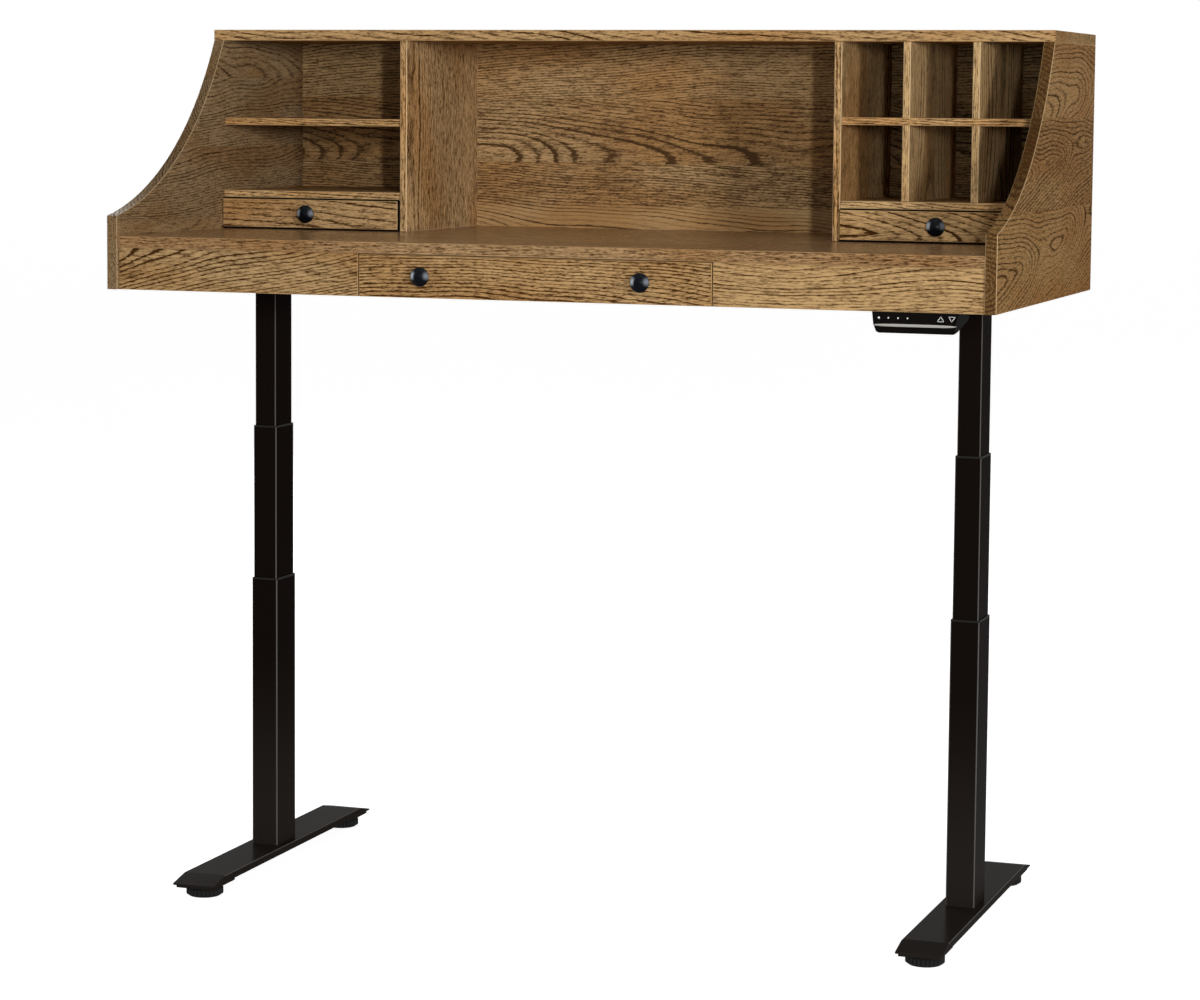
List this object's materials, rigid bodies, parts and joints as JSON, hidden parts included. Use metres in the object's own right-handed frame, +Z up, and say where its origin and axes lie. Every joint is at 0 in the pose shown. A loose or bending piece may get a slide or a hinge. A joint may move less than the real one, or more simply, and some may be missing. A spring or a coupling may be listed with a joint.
{
  "type": "height-adjustable desk",
  "caption": "Height-adjustable oak desk with a curved-sided hutch, pigeonholes, drawers with round knobs and black telescoping electric columns on flat feet.",
  "frame": {"origin": "on the floor, midway across the desk, and midway from the back to the tips of the front knobs", "axes": "+X to the right seen from the front, +Y to the back, +Z up"},
  "size_m": [1.524, 0.7814, 1.4985],
  "materials": {
    "oak_panel": "stained and lacquered oak, satin",
    "oak_back": "stained oak veneer, satin",
    "oak_top": "stained and lacquered oak, semi-gloss",
    "oak_front": "stained and lacquered oak, satin",
    "drawer_wood": "clear lacquered oak, satin",
    "black_steel": "black powder coat, semi-gloss",
    "guide_plastic": "moulded, satin",
    "bright_steel": "turned and oiled",
    "zinc_steel": "zinc plated",
    "motor_metal": "black painted",
    "glide_rubber": "moulded, matte",
    "knob_metal": "black lacquer, gloss",
    "box_plastic": "fine texture",
    "handset_plastic": "gloss",
    "key_dark": "gloss",
    "key_light": "gloss"
  },
  "bodies": {
    "base": {"left_foot": "black_steel", "right_foot": "black_steel", "left_outer_tube": "black_steel", "right_outer_tube": "black_steel", "outer_guides": "guide_plastic", "lower_push_tubes": "bright_steel"},
    "desk": {"left_inner_tube": "black_steel", "right_inner_tube": "black_steel", "gear_motors": "motor_metal", "side_brackets": "black_steel", "cross_rails": "black_steel", "control_box": "box_plastic", "handset_housing": "handset_plastic", "left_side_panel": "oak_panel", "right_side_panel": "oak_panel", "top_panel": "oak_panel", "back_panel": "oak_back", "desktop": "oak_top", "desktop_edge": "oak_front", "left_divider": "oak_panel", "right_divider": "oak_panel", "left_shelf": "oak_panel", "left_drawer_shelf": "oak_panel", "pigeonhole_shelf": "oak_panel", "right_drawer_shelf": "oak_panel", "pigeonhole_dividers": "oak_panel", "left_apron": "oak_front", "right_apron": "oak_front", "drawer_bearers": "drawer_wood", "drawer_rails": "zinc_steel"},
    "left_middle_stage": {"left_middle_tube": "black_steel", "left_middle_guide": "guide_plastic", "left_upper_push_tube": "bright_steel"},
    "right_middle_stage": {"right_middle_tube": "black_steel", "right_middle_guide": "guide_plastic", "right_upper_push_tube": "bright_steel"},
    "pencil_drawer": {"pencil_drawer_front": "oak_front", "pencil_drawer_box": "drawer_wood", "pencil_drawer_knobs": "knob_metal", "pencil_drawer_runners": "zinc_steel"},
    "left_drawer": {"left_drawer_front": "oak_front", "left_drawer_box": "drawer_wood", "left_drawer_knob": "knob_metal"},
    "right_drawer": {"right_drawer_front": "oak_front", "right_drawer_box": "drawer_wood", "right_drawer_knob": "knob_metal"},
    "left_drive_screw_body": {"left_drive_screw": "bright_steel"},
    "right_drive_screw_body": {"right_drive_screw": "bright_steel"},
    "left_hollow_screw_body": {"left_hollow_screw": "bright_steel"},
    "right_hollow_screw_body": {"right_hollow_screw": "bright_steel"},
    "front_left_glide_body": {"front_left_glide": "glide_rubber"},
    "rear_left_glide_body": {"rear_left_glide": "glide_rubber"},
    "front_right_glide_body": {"front_right_glide": "glide_rubber"},
    "rear_right_glide_body": {"rear_right_glide": "glide_rubber"},
    "up_button_body": {"up_button": "key_dark"},
    "down_button_body": {"down_button": "key_dark"},
    "memory_button_1_body": {"memory_button_1": "key_light"},
    "memory_button_2_body": {"memory_button_2": "key_light"},
    "memory_button_3_body": {"memory_button_3": "key_light"},
    "memory_button_4_body": {"memory_button_4": "key_light"}
  },
  "joints": [
    {"name": "desk_lift", "type": "slide", "parent": "base", "child": "desk", "axis": [0, 0, 1], "range_m": [-0.53, 0.12]},
    {"name": "left_middle_lift", "type": "slide", "parent": "base", "child": "left_middle_stage", "axis": [0, 0, 1], "range_m": [-0.265, 0.06]},
    {"name": "left_drive_screw_turn", "type": "hinge", "parent": "desk", "child": "left_drive_screw_body", "pos_m": [-0.64, 0.02875, 1.07], "axis": [0, 0, 1], "range_deg": [-9541, 2161]},
    {"name": "left_hollow_screw_turn", "type": "hinge", "parent": "left_middle_stage", "child": "left_hollow_screw_body", "pos_m": [-0.64, 0.02875, 0.688], "axis": [0, 0, 1], "range_deg": [-9541, 2161]},
    {"name": "right_middle_lift", "type": "slide", "parent": "base", "child": "right_middle_stage", "axis": [0, 0, 1], "range_m": [-0.265, 0.06]},
    {"name": "right_drive_screw_turn", "type": "hinge", "parent": "desk", "child": "right_drive_screw_body", "pos_m": [0.64, 0.02875, 1.07], "axis": [0, 0, 1], "range_deg": [-9541, 2161]},
    {"name": "right_hollow_screw_turn", "type": "hinge", "parent": "right_middle_stage", "child": "right_hollow_screw_body", "pos_m": [0.64, 0.02875, 0.688], "axis": [0, 0, 1], "range_deg": [-9541, 2161]},
    {"name": "front_left_glide_level", "type": "slide", "parent": "base", "child": "front_left_glide_body", "axis": [0, 0, -1], "range_m": [0, 0.008]},
    {"name": "rear_left_glide_level", "type": "slide", "parent": "base", "child": "rear_left_glide_body", "axis": [0, 0, -1], "range_m": [0, 0.008]},
    {"name": "front_right_glide_level", "type": "slide", "parent": "base", "child": "front_right_glide_body", "axis": [0, 0, -1], "range_m": [0, 0.008]},
    {"name": "rear_right_glide_level", "type": "slide", "parent": "base", "child": "rear_right_glide_body", "axis": [0, 0, -1], "range_m": [0, 0.008]},
    {"name": "pencil_drawer_slide", "type": "slide", "parent": "desk", "child": "pencil_drawer", "axis": [0, -1, 0], "range_m": [0, 0.24]},
    {"name": "left_drawer_slide", "type": "slide", "parent": "desk", "child": "left_drawer", "axis": [0, -1, 0], "range_m": [0, 0.23]},
    {"name": "right_drawer_slide", "type": "slide", "parent": "desk", "child": "right_drawer", "axis": [0, -1, 0], "range_m": [0, 0.23]},
    {"name": "up_button_press", "type": "slide", "parent": "desk", "child": "up_button_body", "axis": [0, 0.9487, -0.3162], "range_m": [0, 0.0005], "stiffness_N_per_m": 200, "springref_m": -0.0005},
    {"name": "down_button_press", "type": "slide", "parent": "desk", "child": "down_button_body", "axis": [0, 0.9487, -0.3162], "range_m": [0, 0.0005], "stiffness_N_per_m": 200, "springref_m": -0.0005},
    {"name": "memory_button_1_press", "type": "slide", "parent": "desk", "child": "memory_button_1_body", "axis": [0, 0.9487, -0.3162], "range_m": [0, 0.0005], "stiffness_N_per_m": 200, "springref_m": -0.0005},
    {"name": "memory_button_2_press", "type": "slide", "parent": "desk", "child": "memory_button_2_body", "axis": [0, 0.9487, -0.3162], "range_m": [0, 0.0005], "stiffness_N_per_m": 200, "springref_m": -0.0005},
    {"name": "memory_button_3_press", "type": "slide", "parent": "desk", "child": "memory_button_3_body", "axis": [0, 0.9487, -0.3162], "range_m": [0, 0.0005], "stiffness_N_per_m": 200, "springref_m": -0.0005},
    {"name": "memory_button_4_press", "type": "slide", "parent": "desk", "child": "memory_button_4_body", "axis": [0, 0.9487, -0.3162], "range_m": [0, 0.0005], "stiffness_N_per_m": 200, "springref_m": -0.0005}
  ],
  "couplings": [
    {"joint": "left_middle_lift", "follows": "desk_lift", "ratio": 0.5},
    {"joint": "left_drive_screw_turn", "follows": "desk_lift", "rad_per_m": 314.16},
    {"joint": "left_hollow_screw_turn", "follows": "desk_lift", "rad_per_m": 314.16},
    {"joint": "right_middle_lift", "follows": "desk_lift", "ratio": 0.5},
    {"joint": "right_drive_screw_turn", "follows": "desk_lift", "rad_per_m": 314.16},
    {"joint": "right_hollow_screw_turn", "follows": "desk_lift", "rad_per_m": 314.16}
  ]
}
